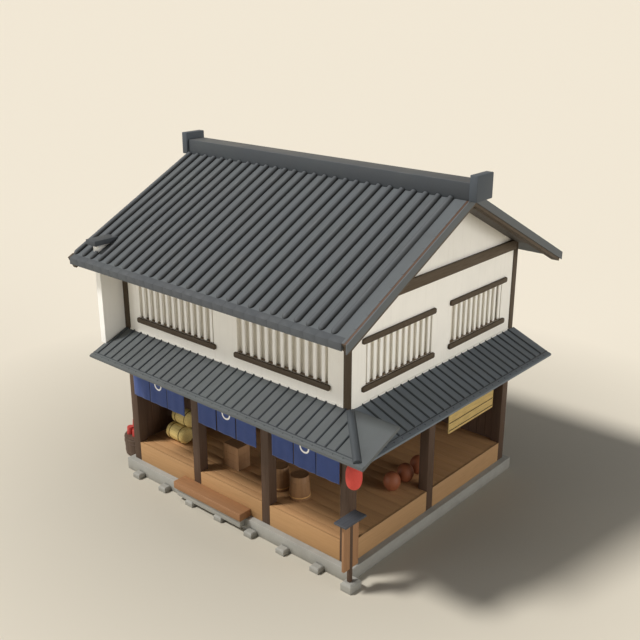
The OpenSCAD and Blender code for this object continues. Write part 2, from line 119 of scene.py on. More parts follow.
class Look:  # a material while it is being painted
    def __init__(self, name, rough=0.7, spec=0.3):
        self.made = bpy.data.materials.new(name)
        self.made.use_nodes = True
        self.tree = self.made.node_tree
        self.skin = self.tree.nodes["Principled BSDF"]
        self.skin.inputs["Roughness"].default_value = rough
        self.skin.inputs["Specular IOR Level"].default_value = spec

    def put(self, kind, ins=None, out=0, **props):
        return put(self.tree, kind, ins, **props).outputs[out]

    def join(self, value, label):
        self.tree.links.new(value, self.skin.inputs[label])

    def calc(self, how, first, second=0.0):
        return self.put("ShaderNodeMath", {0: first, 1: second}, operation=how)

    def mix(self, share, first, second):
        return self.put("ShaderNodeMix", {0: share, 6: first, 7: second}, 2, data_type="RGBA")

    def spread(self, value, low, high, outLow, outHigh):
        return self.put("ShaderNodeMapRange", {0: value, 1: low, 2: high, 3: outLow, 4: outHigh})

    def lay(self, look, colour, value, *band):  # a colour over the look where a value says
        return self.mix(self.spread(value, *band), look, colour)

    def within(self, value, middle, half, most):  # a soft-edged band round a value
        away = self.calc("ABSOLUTE", self.calc("SUBTRACT", value, middle))
        return self.spread(away, half + 0.002, half - 0.001, 0.0, most)

    def shades(self, value, colour, *stops):  # ramp through shades of one colour
        made = put(self.tree, "ShaderNodeValToRGB", {0: value})
        marks = made.color_ramp.elements
        while len(marks) < len(stops):
            marks.new(0.5)
        for mark, (spot, share) in zip(marks, stops):
            mark.position = spot
            mark.color = deepen(colour, share)
        return made.outputs[0]

    def place(self, scale=(1, 1, 1)):
        spot = self.put("ShaderNodeTexCoord", out="Object")
        return self.put("ShaderNodeMapping", {"Vector": spot, "Scale": scale})

    def axis(self, place, which):
        return self.put("ShaderNodeSeparateXYZ", {0: place}, which)

    def cloudy(self, place, scale, detail=4.0, rough=0.55, bend=0.0):
        return self.put("ShaderNodeTexNoise", {"Vector": place, "Scale": scale, "Detail": detail,
                                               "Roughness": rough, "Distortion": bend})

    def own(self, name):  # a piece's own attribute
        return self.put("ShaderNodeAttribute", out="Fac", attribute_name=name)

    def toned(self, look, amount):  # each board or tile is a little lighter or darker
        level = self.spread(self.own("pieceTone"), 0.0, 1.0, 1.0 - amount, 1.0 + amount)
        return self.put("ShaderNodeHueSaturation", {"Color": look, "Value": level})

    def done(self, look, height, strength, depth, rough=None):  # rough is a value and two roughnesses
        self.join(look, "Base Color")
        if rough:
            self.join(self.spread(rough[0], 0.3, 0.7, *rough[1:]), "Roughness")
        bump = {"Height": height, "Strength": strength, "Distance": depth}
        self.join(self.put("ShaderNodeBump", bump), "Normal")
        return self.made


def timber(name, colour, along, contrast, tone=0.0, rough=(0.5, 0.75)):
    paint = Look(name)
    squeeze = [1.0 if axis == along else 16.0 for axis in "xyz"]
    fibre = paint.cloudy(paint.place(squeeze), 2.6, 8.0, 0.62, 0.7)
    figure = paint.cloudy(paint.place([s * 0.16 for s in squeeze]), 2.2, 3.0, 0.5, 1.6)
    grain = paint.mix(0.45, fibre, figure)
    look = paint.shades(grain, colour, (0.30, 1 - contrast), (0.5, 1), (0.72, 1 + contrast * 0.7))
    worn = paint.cloudy(paint.place(), 1.1, 3.0)
    look = paint.lay(look, deepen(colour, 0.72), worn, 0.35, 0.7, 0.0, 0.16)
    if tone:
        look = paint.toned(look, tone)
    return paint.done(look, fibre, 0.35, 0.002, (fibre, rough[1], rough[0]))


def limePlaster(name, colour, footLow, footHigh):
    paint = Look(name, 0.9, 0.2)
    place = paint.place()
    patch = paint.cloudy(place, 0.9, 5.0, 0.6, 0.4)
    fine = paint.cloudy(place, 55.0, 6.0, 0.65)
    look = paint.shades(patch, colour, (0.3, 0.955), (0.55, 1), (0.75, 1.02))
    rain = paint.cloudy(paint.place((9, 9, 0.7)), 1.6, 4.0, 0.6)
    look = paint.lay(look, tint(168, 157, 138), rain, 0.52, 0.78, 0.0, 0.10)
    height = paint.axis(place, 2)
    look = paint.lay(look, tint(150, 140, 124), height, footLow, footHigh, 0.07, 0.0)
    look = paint.lay(look, deepen(colour, 0.45), height, 4.7, 5.7, 0.0, 0.33)  # painted shade under the roof's overhang, darker towards the gable's top
    trowel = paint.cloudy(place, 6.0, 4.0, 0.5, 0.8)
    return paint.done(look, paint.mix(0.6, fine, trowel), 0.22, 0.004, (fine, 0.82, 0.95))


def firedTile(name, colour, tone=0.0, footShadeShare=0.0, rough=(0.52, 0.78), moss=0.10):
    paint = Look(name, spec=0.35)
    place = paint.place()
    patch = paint.cloudy(place, 1.7, 6.0, 0.62, 0.5)
    fine = paint.cloudy(place, 42.0, 5.0, 0.6)
    look = paint.shades(patch, colour, (0.3, 0.86), (0.52, 1), (0.74, 1.13))
    look = paint.lay(look, deepen(colour, 1.35), fine, 0.58, 0.72, 0.0, 0.30)
    film = paint.cloudy(place, 0.55, 5.0, 0.6)
    look = paint.lay(look, tint(98, 110, 104), film, 0.52, 0.72, 0.0, moss)
    if footShadeShare:  # painted shade: the round tiles darken towards their feet on both flanks
        look = paint.lay(look, deepen(colour, 0.12), paint.own("footShade"), 0.0, 0.62, 0.0, footShadeShare)
    if tone:
        look = paint.toned(look, tone)
    return paint.done(look, fine, 0.25, 0.003, (patch, *rough))


def dressedStone(name, colour):
    paint = Look(name, 0.85, 0.25)
    place = paint.place()
    patch = paint.cloudy(place, 2.3, 6.0, 0.62, 0.3)
    grit = paint.cloudy(place, 70.0, 4.0, 0.7)
    look = paint.shades(patch, colour, (0.3, 0.87), (0.5, 1), (0.72, 1.1))
    look = paint.lay(look, deepen(colour, 1.28), grit, 0.55, 0.75, 0.0, 0.35)
    look = paint.lay(look, deepen(colour, 0.66), grit, 0.45, 0.27, 0.0, 0.35)
    look = paint.lay(look, tint(96, 92, 82), paint.axis(place, 2), 0.0, 0.12, 0.22, 0.0)
    chip = paint.cloudy(place, 14.0, 6.0, 0.6)
    return paint.done(look, paint.mix(0.5, chip, grit), 0.35, 0.006, (grit, 0.72, 0.95))


def strawFinish(name, colour, along, dark):
    paint = Look(name, 0.8, 0.25)
    squeeze = [1.5 if axis == along else 60.0 for axis in "xyz"]
    stalk = paint.cloudy(paint.place(squeeze), 2.0, 5.0, 0.6, 0.2)
    look = paint.shades(stalk, colour, (0.32, dark), (0.5, 1), (0.7, 1.28))
    age = paint.cloudy(paint.place(), 3.0, 4.0)
    look = paint.toned(paint.lay(look, deepen(colour, 0.72), age, 0.45, 0.75, 0.0, 0.35), 0.12)
    return paint.done(look, stalk, 0.6, 0.004, (stalk, 0.9, 0.65))


def thinPaper(name, colour, glow=0.0, frontScreenShade=0.0):
    paint = Look(name, 0.7, 0.2)
    place = paint.place()
    fibre = paint.cloudy(paint.place((30, 30, 4)), 4.0, 6.0, 0.65, 0.8)
    look = paint.shades(fibre, colour, (0.3, 0.88), (0.55, 1), (0.75, 1.1))
    look = paint.lay(look, deepen(colour, 0.75), paint.cloudy(place, 5.0), 0.4, 0.75, 0.0, 0.18)
    if frontScreenShade:  # painted shade: the screens behind the street side's bars are darker
        look = paint.lay(look, tint(150, 143, 126), paint.axis(place, 1), -2.37, -2.31, frontScreenShade, 0.0)
    if glow:
        paint.join(look, "Emission Color")
        paint.skin.inputs["Emission Strength"].default_value = glow
    return paint.done(look, fibre, 0.2, 0.001)


def wovenCloth(name, colour, ring):  # dyed, with an undyed ring, on the sheet's own UV in metres
    paint = Look(name, 0.85, 0.15)
    flat = paint.put("ShaderNodeUVMap", uv_map="cut")
    weave = {"Vector": flat, "Scale": 70.0, "Distortion": 0.6, "Detail": 1.0}
    warp, weft = [paint.put("ShaderNodeTexWave", weave, 1, bands_direction=way) for way in "XY"]
    thread = paint.calc("MULTIPLY", warp, weft)
    look = paint.shades(paint.cloudy(flat, 3.0, 5.0, 0.6), colour, (0.3, 0.86), (0.55, 1), (0.78, 1.15))
    look = paint.lay(look, deepen(colour, 1.5), thread, 0.0, 1.0, 0.0, 0.16)
    top = ring["slitTop"]
    below = paint.spread(paint.axis(flat, 1), top + 0.004, top - 0.004, 0.0, 1.0)
    for spot in ring["slits"]:  # painted shade along both edges of the slits
        near = paint.within(paint.axis(flat, 0), spot, ring["slitShadeWidth"], 0.85)
        look = paint.mix(paint.calc("MULTIPLY", near, below), look, deepen(colour, 0.12))
    middle = {0: flat, 1: (ring["u"], ring["v"], 0.0)}
    away = paint.put("ShaderNodeVectorMath", middle, "Value", operation="DISTANCE")
    look = paint.mix(paint.within(away, ring["radius"], ring["half"], 0.96), look, tint(250, 248, 243))
    paint.skin.inputs["Sheen Weight"].default_value = 0.15
    return paint.done(look, thread, 0.3, 0.0008)


palette = {
    dressedStone: {"stone": ((156, 153, 144),)},
    limePlaster: {"plaster": ((247, 243, 233), 3.15, 3.42), "white": ((249, 246, 238), 2.9, 3.2)},
    thinPaper: {"screen": ((245, 240, 229), 0.0, 0.12), "lantern": ((198, 76, 66), 0.05)},
    firedTile: {
        "tile": ((93, 97, 99), 0.05), "roll": ((80, 83, 86), 0.05, 0.8), "eaveTile": ((68, 71, 74),),
        "ridge": ((62, 66, 70),), "ridgeEnd": ((69, 75, 81),), "ridgeCap": ((75, 77, 79),),
        # the right slope's tile is a paler, bluer copy of the pent tile: painted light on the slope the key
        # light misses
        "pent": ((88, 91, 91),), "pentSide": ((104, 111, 117),), "rib": ((54, 58, 62), 0.05),
        "clay": ((136, 78, 49), 0.03, 0.0, (0.45, 0.65), 0.0)},
    strawFinish: {
        "reed": ((216, 188, 124), "y", 0.78), "reedDark": ((96, 74, 40), "y", 0.7),
        "straw": ((214, 190, 122), "x", 0.66), "rope": ((112, 84, 40), "y", 0.6),
        "hoop": ((196, 152, 96), "y", 0.7)},
    timber: {
        "step": ((151, 109, 73), "x", 0.16), "floor": ((187, 143, 98), "x", 0.12, 0.06),
        "skirt": ((174, 134, 90), "x", 0.12), "skirtSide": ((175, 137, 95), "y", 0.12),
        "postDark": ((79, 60, 46), "z", 0.2), "upperDark": ((74, 62, 47), "z", 0.2),
        "beamX": ((88, 68, 56), "x", 0.2), "beamY": ((78, 65, 49), "y", 0.2),
        # sill is the rails' dark wood painted much paler: painted light in the shaded window recess
        "railX": ((74, 62, 47), "x", 0.2), "sill": ((122, 105, 84), "x", 0.2),
        "wallBoard": ((84, 62, 46), "z", 0.22, 0.10), "ceiling": ((116, 84, 58), "x", 0.2),
        "verge": ((92, 69, 55), "y", 0.2), "vergeDark": ((80, 68, 54), "y", 0.2),
        "soffit": ((88, 83, 78), "y", 0.15), "rod": ((120, 90, 58), "x", 0.2),
        "lacquer": ((40, 34, 32), "z", 0.15, 0.0, (0.3, 0.5)), "sign": ((150, 111, 77), "z", 0.16),
        "signRoof": ((72, 73, 77), "y", 0.18), "tub": ((88, 70, 57), "z", 0.2, 0.06),
        "bucket": ((176, 58, 50), "z", 0.12, 0.05, (0.45, 0.65)),
        "crate": ((150, 114, 80), "z", 0.18, 0.06), "pail": ((141, 106, 72), "z", 0.2, 0.08)},
}
finish = {name: maker(name, tint(*rgb), *rest)
          for maker, kinds in palette.items() for name, (rgb, *rest) in kinds.items()}
print("finishes made:", len(finish))


# making pieces

def halfTurns(count):
    return [math.pi * k / count for k in range(count + 1)]


def wholeTurns(count):
    return [2 * math.pi * k / count for k in range(count)]


class Form:  # the points, faces and tones of a piece; each shape is added and the form handed on
    def __init__(self):
        self.points, self.faces, self.tone, self.foot = [], [], [], []

    def add(self, points, faces, tone):
        base = len(self.points)
        self.points += points
        self.faces += [[base + i for i in f] for f in faces]
        self.tone += [tone] * len(points)
        return self

    def box(self, low, high, tone=0.5):
        points = [(x, y, z) for z in (low[2], high[2]) for y in (low[1], high[1]) for x in (low[0], high[0])]
        faces = [(0, 2, 3, 1), (4, 5, 7, 6), (0, 1, 5, 4), (2, 6, 7, 3), (0, 4, 6, 2), (1, 3, 7, 5)]
        return self.add(points, faces, tone)

    def rings(self, rings, tone=0.5, closed=False):  # tube through rings of points, capped or end to end
        count, size = len(rings), len(rings[0])
        faces = []
        for k in range(count if closed else count - 1):
            a, b = k * size, (k + 1) % count * size
            faces += [(a + i, a + (i + 1) % size, b + (i + 1) % size, b + i) for i in range(size)]
        if not closed:
            faces += [range(size)[::-1], range((count - 1) * size, count * size)]
        return self.add([p for ring in rings for p in ring], faces, tone)

    def lathe(self, outline, count, centre=(0, 0, 0), along="z", ripple=None):  # outline of (radius, height)
        rings = []
        for radius, height in outline:
            ring = []
            for k, angle in enumerate(wholeTurns(count)):
                r = radius + (ripple(k, angle, height) if ripple and radius > 1e-6 else 0.0)
                flat = (r * math.cos(angle), r * math.sin(angle))
                spot = (*flat, height) if along == "z" else (height, *flat)
                ring.append(tuple(a + b for a, b in zip(spot, centre)))
            rings.append(ring)
        return self.rings(rings)


def smoothed(mesh, sharp=38.0):
    for face in mesh.polygons:
        face.use_smooth = True
    mesh.set_sharp_from_angle(angle=math.radians(sharp))


def settle(work, mesh, sharp=38.0):
    bmesh.ops.remove_doubles(work, verts=work.verts, dist=1e-6)
    bmesh.ops.dissolve_degenerate(work, edges=work.edges, dist=1e-6)
    bmesh.ops.recalc_face_normals(work, faces=work.faces)
    work.to_mesh(mesh)
    work.free()
    smoothed(mesh, sharp)


def ease(work, width, steps, angle):  # rounds the edges that turn more than an angle
    corners = [e for e in work.edges if e.is_manifold and e.calc_face_angle(0.0) > angle]
    bmesh.ops.bevel(work, geom=corners, offset=width, segments=steps, profile=0.5, affect="EDGES",
                    clamp_overlap=True)


def makePiece(form, name, look, bevel=0.0, steps=1, sharp=38.0):
    mesh = bpy.data.meshes.new(name)
    mesh.from_pydata(form.points, [], form.faces)
    for label, values in (("pieceTone", form.tone), ("footShade", form.foot)):
        if values:
            mesh.attributes.new(label, "FLOAT", "POINT").data.foreach_set("value", values)
    work = bmesh.new()
    work.from_mesh(mesh)
    bmesh.ops.recalc_face_normals(work, faces=work.faces)
    if bevel:
        ease(work, bevel, steps, 0.5)
    settle(work, mesh, sharp)
    mesh.materials.append(finish[look])
    return linked(name, mesh)


def keepPiece(piece, slotName, *stoodFor):
    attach(piece, "root")
    if stoodFor:
        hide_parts(*stoodFor)
    return piece


hewn = {"rounds": 3, "waves": ((9.0, 0.6), (31.0, 0.4)), "ground": 0.004}  # uneven faces of the stones


def softened(nodeName, width, look, slotName, uneven=0.0, cell=0.0):  # a CAD solid with eased edges
    work = bmesh.new()
    work.from_mesh(cad[nodeName].data)
    bmesh.ops.remove_doubles(work, verts=work.verts, dist=1e-5)
    bmesh.ops.dissolve_limit(work, angle_limit=0.02, verts=work.verts, edges=work.edges)
    ease(work, width, 2, 0.3)
    bmesh.ops.triangulate(work, faces=[f for f in work.faces if len(f.verts) > 4])
    if uneven:
        for _ in range(hewn["rounds"]):
            long = [e for e in work.edges if e.calc_length() > cell]
            if long:
                bmesh.ops.subdivide_edges(work, edges=long, cuts=1, use_grid_fill=True)
        work.normal_update()
        for corner in work.verts:
            push = sum(noise.noise(corner.co * scale) * share for scale, share in hewn["waves"])
            if corner.co.z > hewn["ground"]:
                corner.co += corner.normal * push * uneven
    mesh = bpy.data.meshes.new(nodeName + "_eased")
    settle(work, mesh, 40.0)
    mesh.materials.append(finish[look])
    return keepPiece(linked(nodeName + "_eased", mesh), slotName, nodeName)


def laySpots(unit, name, spots, seed):  # copies of one piece, each with a tone of its own
    tree = bpy.data.node_groups.new(name, "GeometryNodeTree")
    for way in ("INPUT", "OUTPUT"):
        tree.interface.new_socket(name="Geometry", in_out=way, socket_type="NodeSocketGeometry")
    points = put(tree, "NodeGroupInput").outputs[0]
    shape = put(tree, "GeometryNodeObjectInfo", {"Object": unit}, transform_space="ORIGINAL")
    copies = put(tree, "GeometryNodeInstanceOnPoints",
                 {"Points": points, "Instance": shape.outputs["Geometry"]})
    level = put(tree, "FunctionNodeRandomValue", {"Seed": seed}, data_type="FLOAT")
    store = put(tree, "GeometryNodeStoreNamedAttribute", {"Geometry": copies.outputs[0], "Name": "pieceTone"},
                data_type="FLOAT", domain="INSTANCE")
    tree.links.new([s for s in level.outputs if s.enabled][0],
                   [s for s in store.inputs if s.name == "Value" and s.enabled][0])
    real = put(tree, "GeometryNodeRealizeInstances", {"Geometry": store.outputs[0]})
    painted = put(tree, "GeometryNodeSetMaterial",
                  {"Geometry": real.outputs[0], "Material": unit.data.materials[0]})
    put(tree, "NodeGroupOutput", {0: painted.outputs[0]})
    host = linked(name, bpy.data.meshes.new(name + "Host"))
    host.data.from_pydata(spots, [], [])
    change = host.modifiers.new("repeat", "NODES")
    change.node_group = tree
    whole = bpy.data.meshes.new_from_object(host.evaluated_get(bpy.context.evaluated_depsgraph_get()))
    host.modifiers.remove(change)
    host.data = whole
    whole.name = name
    bpy.data.objects.remove(unit)
    smoothed(whole)
    return host


def rowSpots(start, step, count):
    return [tuple(a + b * k for a, b in zip(start, step)) for k in range(count)]


def showPiece(form, name, look, slotName, *stoodFor, **how):
    return keepPiece(makePiece(form, name, look, **how), slotName, *stoodFor)


def showSpots(form, name, look, slotName, spots, seed, *stoodFor, **how):
    return keepPiece(laySpots(makePiece(form, "unit", look, **how), name, spots, seed), slotName, *stoodFor)


def joinPieces(name, pieces):
    work = bmesh.new()
    for piece in pieces:
        work.from_mesh(piece.data)
    mesh = bpy.data.meshes.new(name)
    look = pieces[0].data.materials[0]
    settle(work, mesh)
    mesh.materials.append(look)
    for piece in pieces:
        bpy.data.objects.remove(piece)
    return linked(name, mesh)


# ground

floorMesh = bpy.data.meshes.new("studioFloor")
far = ground["reach"]
floorMesh.from_pydata([(-far, -far, 0), (far, -far, 0), (far, far, 0), (-far, far, 0)], [], [(0, 1, 2, 3)])
paint = Look("paleFloor", 0.95, 0.0)
spot = paint.put("ShaderNodeTexCoord", out="Object")
away = paint.put("ShaderNodeVectorMath", {0: spot, 1: (0.0, 0.0, 0.0)}, "Value", operation="DISTANCE")
# painted shade: the floor is darker near the building and paler far off
paint.join(paint.lay(ground["near"], ground["far"], away, *ground["shadeFade"], 0.0, 1.0), "Base Color")
floorMesh.materials.append(paint.made)
linked("studioFloor", floorMesh)


# solids that keep their shape

kept = {"plaster": ("upper_wall_front", "upper_wall_right", "upper_wall_back", "upper_wall_left"),
        "white": ("sleeve_wall",), "screen": ("window_screens",), "wallBoard": ("ground_walls",),
        "beamX": ("girder_ring",), "ceiling": ("upper_floor",), "tile": ("main_roof_front", "main_roof_back"),
        "pent": ("pent_roof_front",), "pentSide": ("pent_roof_right",), "ridge": ("hip_roll",)}
for look, names in kept.items():
    for nodeName in names:
        for slot in range(len(cad[nodeName].data.materials)):
            cad[nodeName].data.materials[slot] = finish[look]

eased = {"stone_plinth": (0.012, "stone", "stone"), "step_stone": (0.008, "stone", "stone"),
         "kerb_stones": (0.005, "stone", "stone", 0.0022, 0.03),
         "sign_stone": (0.005, "stone", "stone", 0.0022, 0.03), "step_board": (0.008, "step", "step_wood"),
         "front_posts": (0.007, "postDark", "dark_wood"), "side_posts": (0.007, "postDark", "dark_wood"),
         "upper_posts": (0.005, "upperDark", "dark_wood"), "gable_beams": (0.006, "beamY", "dark_wood"),
         "window_rails": (0.008, "railX", "dark_wood"), "sleeve_cap": (0.010, "ridge", "roof_tile"),
         "ridge_box": (0.014, "ridge", "roof_tile"), "ridge_ends": (0.014, "ridgeEnd", "roof_tile"),
         "curtain_rod": (0.006, "rod", "dark_wood"), "sign_post": (0.004, "postDark", "dark_wood"),
         "sign_board": (0.004, "sign", "floor_wood"), "sign_roof": (0.006, "signRoof", "sign_shingle")}
for nodeName, how in eased.items():
    softened(nodeName, *how)


def easedPoints(nodeName):
    return [v.co for v in scene.objects[nodeName + "_eased"].data.vertices]


ridgeMesh = scene.objects["ridge_box_eased"].data
ridgeMesh.materials.append(finish["ridgeCap"])
for face in ridgeMesh.polygons:  # the top faces take a paler copy of the ridge tile: painted light on the top course
    face.material_index = 1 if face.normal.z > 0.7 else 0

cap = {"rise": 0.030, "front": 0.035, "half": -2.8, "collarBack": -2.7, "collar": (-0.012, 0.031)}
for point in easedPoints("sleeve_cap"):
    point.z += cap["rise"]
    point.y -= cap["front"] if point.y < cap["half"] else 0.0
low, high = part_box("sleeve_wall")
foot, top = [high.z + z for z in cap["collar"]]
form = Form().box((low.x, low.y, foot), (high.x, cap["collarBack"], top))
showPiece(form, "sleeve_collar", "white", "white_plaster", bevel=0.002)

stones = {"kerb": 1.26, "sign": 1.2, "signBack": 0.075}
for point in easedPoints("kerb_stones"):  # the stones stand a little taller
    point.z *= stones["kerb"]
low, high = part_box("sign_stone")
for point in easedPoints("sign_stone"):
    point.z *= stones["sign"]
    point.y += stones["signBack"] if point.y > (low.y + high.y) / 2 else 0.0

rails = {"face": 2.8, "near": -2.15, "longer": 0.055, "far": 2.0, "shorter": 0.045}
for point in easedPoints("window_rails"):  # the street side's rails sit nearer the corner
    if point.x > rails["face"] and point.y < rails["near"]:
        point.y -= rails["longer"]
    elif point.x > rails["face"] and point.y > rails["far"]:
        point.y -= rails["shorter"]

corner = {"face": 2.8615, "wall": 2.8452, "start": -2.478, "post": -2.33, "end": -2.16, "foot": 3.13,
          "deep": 0.02, "steps": 9}
roofUnder = {"slope": 0.512, "eaveY": 3.26, "eaveZ": 4.478}
rings = []
for k in range(corner["steps"] + 1):  # plaster drawn over the corner post, fading into the wall
    share = max(0.0, (k - 1) / (corner["steps"] - 1))
    y = corner["post"] + (corner["end"] - corner["post"]) * share if k else corner["start"]
    x = corner["face"] + (corner["wall"] - corner["face"]) * share * share * (3 - 2 * share)
    foot, top = corner["foot"], roofUnder["eaveZ"] + (roofUnder["eaveY"] + y) * roofUnder["slope"]
    back = x - corner["deep"]
    rings.append([(back, y, foot), (x, y, foot), (x, y, top), (back, y, top)])
showPiece(Form().rings(rings), "corner_plaster", "plaster", "plaster")
print("solids dressed")


# shop floor, skirt and walls

shop = {"board": 0.232, "gap": 0.004, "post": 0.195, "backEdge": 0.075, "postBack": 0.15, "skirt": 0.045,
        "wallBoard": 0.186, "wallThick": 0.010, "wall": 0.12, "end": 0.001}
deckLow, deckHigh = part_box("floor_deck")
postLow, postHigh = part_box("front_posts")
skirtLow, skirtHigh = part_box("floor_skirt")
bay = (postHigh.x - postLow.x - shop["post"]) / 3
bays = [(postLow.x + i * bay + shop["post"], postLow.x + (i + 1) * bay) for i in range(3)]
sideStart = min(v.co.y for v in cad["side_posts"].data.vertices)
sideEnd = sideStart + shop["post"]
backStart = deckHigh.y - shop["backEdge"]
marks = [deckLow.y, postHigh.y]
for a, b in ((postHigh.y, sideStart), (sideStart, sideEnd), (sideEnd, backStart)):
    count = max(1, round((b - a) / shop["board"]))
    marks += [a + (b - a) * (i + 1) / count for i in range(count)]
marks.append(deckHigh.y)

form = Form()
chance = random.Random(7)
half = shop["gap"] / 2
for low, high in zip(marks, marks[1:]):
    middle = (low + high) / 2
    spans = [(deckLow.x, deckHigh.x)]
    if middle < postHigh.y:
        spans = bays
    elif sideStart < middle < sideEnd:
        spans = [(deckLow.x, deckHigh.x - shop["postBack"])]
    elif middle > backStart:
        spans = [(deckLow.x + shop["backEdge"], deckHigh.x - shop["postBack"])]
    for x0, x1 in spans:
        start, end = (x0 + shop["end"], low + half, deckLow.z), (x1 - shop["end"], high - half, deckHigh.z)
        form.box(start, end, chance.random())
showPiece(form, "floor_boards", "floor", "floor_wood", "floor_deck", bevel=0.003, steps=2)

form = Form()
back, inside = skirtLow.y + shop["skirt"], skirtHigh.x - shop["skirt"]
for x0, x1 in bays:
    form.box((x0, skirtLow.y, skirtLow.z), (x1, back, skirtHigh.z), chance.random())
showPiece(form, "front_skirt", "skirt", "floor_wood", "floor_skirt", bevel=0.005, steps=2)
form = Form()
for y0, y1 in ((postHigh.y, sideStart), (sideEnd, skirtHigh.y)):
    form.box((inside, y0, skirtLow.z), (skirtHigh.x, y1, skirtHigh.z), chance.random())
showPiece(form, "side_skirt", "skirtSide", "floor_wood", "floor_skirt", bevel=0.005, steps=2)

wallLow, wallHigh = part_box("ground_walls")
thick = shop["wallThick"]
walls = {"left": (postHigh.y, wallLow.x + shop["wall"], wallLow.x - thick),
         "back": (postLow.x + shop["post"], wallHigh.y - shop["wall"] - thick, wallHigh.y)}
for side, (start, inside, outside) in walls.items():  # upright boards nailed on the wall faces
    count = int(-2 * start / shop["wallBoard"])
    pitch = -2 * start / count
    for name, face, foot in (("inside", inside, deckHigh.z), ("outside", outside, wallLow.z)):
        turned = [(thick, pitch - shop["gap"], wallHigh.z - foot), (face, start + half, foot), (0, pitch, 0)]
        if side == "back":
            turned = [(v[1], v[0], v[2]) for v in turned]
        size, spot, step = turned
        showSpots(Form().box((0, 0, 0), size), side + "_boards_" + name, "wallBoard", "wall_wood",
                  rowSpots(spot, step, count), 11, bevel=0.003)
print("shop floor and walls made")


# main roof: round cover tiles over flat pans

roof = {"slope": 0.512, "eaveY": 3.26, "eaveZ": 4.605, "pitch": 0.2465, "first": 3.044, "count": 27,
        "half": 0.061, "high": 0.059, "strip": 0.116, "ridge": 0.195, "tile": 0.31, "lap": 0.035, "round": 12,
        "joint": 0.003, "dome": (0.0, 22.5, 45.0, 67.5), "cut": 0.02, "wallGap": 0.01, "capOver": 0.12}
tilt = math.atan(roof["slope"])


def roofPoint(side, u, along, high):  # u across, along up the slope from the eave, high above it
    return (u, side * (roof["eaveY"] - along * math.cos(tilt)) + side * high * math.sin(tilt),
            roof["eaveZ"] + along * math.sin(tilt) + high * math.cos(tilt))


def slopeLength(y):  # distance up the slope from the eave
    return (roof["eaveY"] - abs(y)) / math.cos(tilt)


def rollForm(side, low, high, centre=0.0, domed=True):
    stops = []  # place along the slope and share of the full size
    if domed:
        for turn in roof["dome"]:
            a = math.radians(turn)
            stops.append((low + roof["half"] * (1 - math.cos(a)), max(0.002, math.sin(a))))
        low += roof["half"]
    count = max(1, round((high - low) / roof["tile"]))
    size = (high - low) / count
    for i in range(count):
        stops.append((low + i * size, 1.0))
        stops.append((low + (i + 1) * size - roof["joint"], 1.0 - roof["lap"]))
    turns = halfTurns(roof["round"])
    form = Form().rings([[roofPoint(side, centre + roof["half"] * share * math.cos(t), along,
                                    roof["high"] * share * math.sin(t)) for t in turns]
                         for along, share in stops])
    # share of painted shade: full at a roll's feet, none at its crest
    form.foot = [1 - math.sin(t) for _ in stops for t in turns]
    return form


capLow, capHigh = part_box("sleeve_cap")
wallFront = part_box("sleeve_wall")[0].y
topEnd = slopeLength(roof["ridge"])
allSpots = rowSpots((roof["first"], 0, 0), (-roof["pitch"], 0, 0), roof["count"])
cut = [s for s in allSpots if capLow.x - roof["cut"] < s[0] < capHigh.x + roof["cut"]]
unit = makePiece(rollForm(-1, roof["strip"], topEnd), "unit", "roll")
rolls = [laySpots(unit, "frontRolls", [s for s in allSpots if s not in cut], 5)]
wallEnd, capEnd = slopeLength(wallFront) - roof["wallGap"], slopeLength(capHigh.y) - roof["capOver"]
for x, _, _ in cut:  # the row that meets the sleeve wall
    rolls.append(makePiece(rollForm(-1, roof["strip"], wallEnd, x), "lowRoll", "roll"))
    rolls.append(makePiece(rollForm(-1, capEnd, topEnd, x, False), "highRoll", "roll"))
keepPiece(joinPieces("front_tile_rolls", rolls), "roof_tile")
showSpots(rollForm(1, roof["strip"], topEnd), "back_tile_rolls", "roll", "roof_tile", allSpots, 6)

eave = {"count": 27, "span": (-3.396, 3.297), "deep": 0.116, "thick": 0.003, "front": 0.006, "back": -0.002,
        "tall": 0.116, "gap": 0.0012}
eavePitch = (eave["span"][1] - eave["span"][0]) / eave["count"]
for side, name in ((-1, "front_eave_tiles"), (1, "back_eave_tiles")):  # edge tiles with a turned-down front
    front, back = [side * (roof["eaveY"] + eave[key]) for key in ("front", "back")]
    edge, foot = roof["eaveZ"] - eave["thick"], roof["eaveZ"] - eave["tall"]
    profile = [roofPoint(side, 0, eave["deep"], high)[1:] for high in (eave["back"], eave["thick"])]
    profile += [(front, roof["eaveZ"]), (front, foot), (back, foot), (back, edge)]
    form = Form().rings([[(u, y, z) for y, z in profile] for u in (0.0, eavePitch - eave["gap"])])
    spots = rowSpots((eave["span"][0], 0, 0), (eavePitch, 0, 0), eave["count"])
    showSpots(form, name, "eaveTile", "roof_tile", spots, 7, bevel=0.0005)

under = {"end": (-0.008, 0.125), "outer": (-3.452, -3.402), "inner": (-3.402, -3.352), "deep": -0.235,
         "top": 0.006, "batten": (3.232, 3.301), "battenDeep": -0.192, "soffit": (2.85, 3.229), "boards": 3,
         "gap": 0.0015, "soffitDeep": -0.156, "from": 0.96, "slab": -0.104, "battenEnd": 0.02,
         "ridgeEnd": 0.06}


def slopeBar(form, side, span, along, deep, top, tone=0.5, drop=0.0):  # straight bar down a roof slope
    profile = ((along[0], top), (along[1], top - drop), (along[1], deep), (along[0], deep))
    form.rings([[roofPoint(side, u, a, high) for a, high in profile] for u in span], tone)


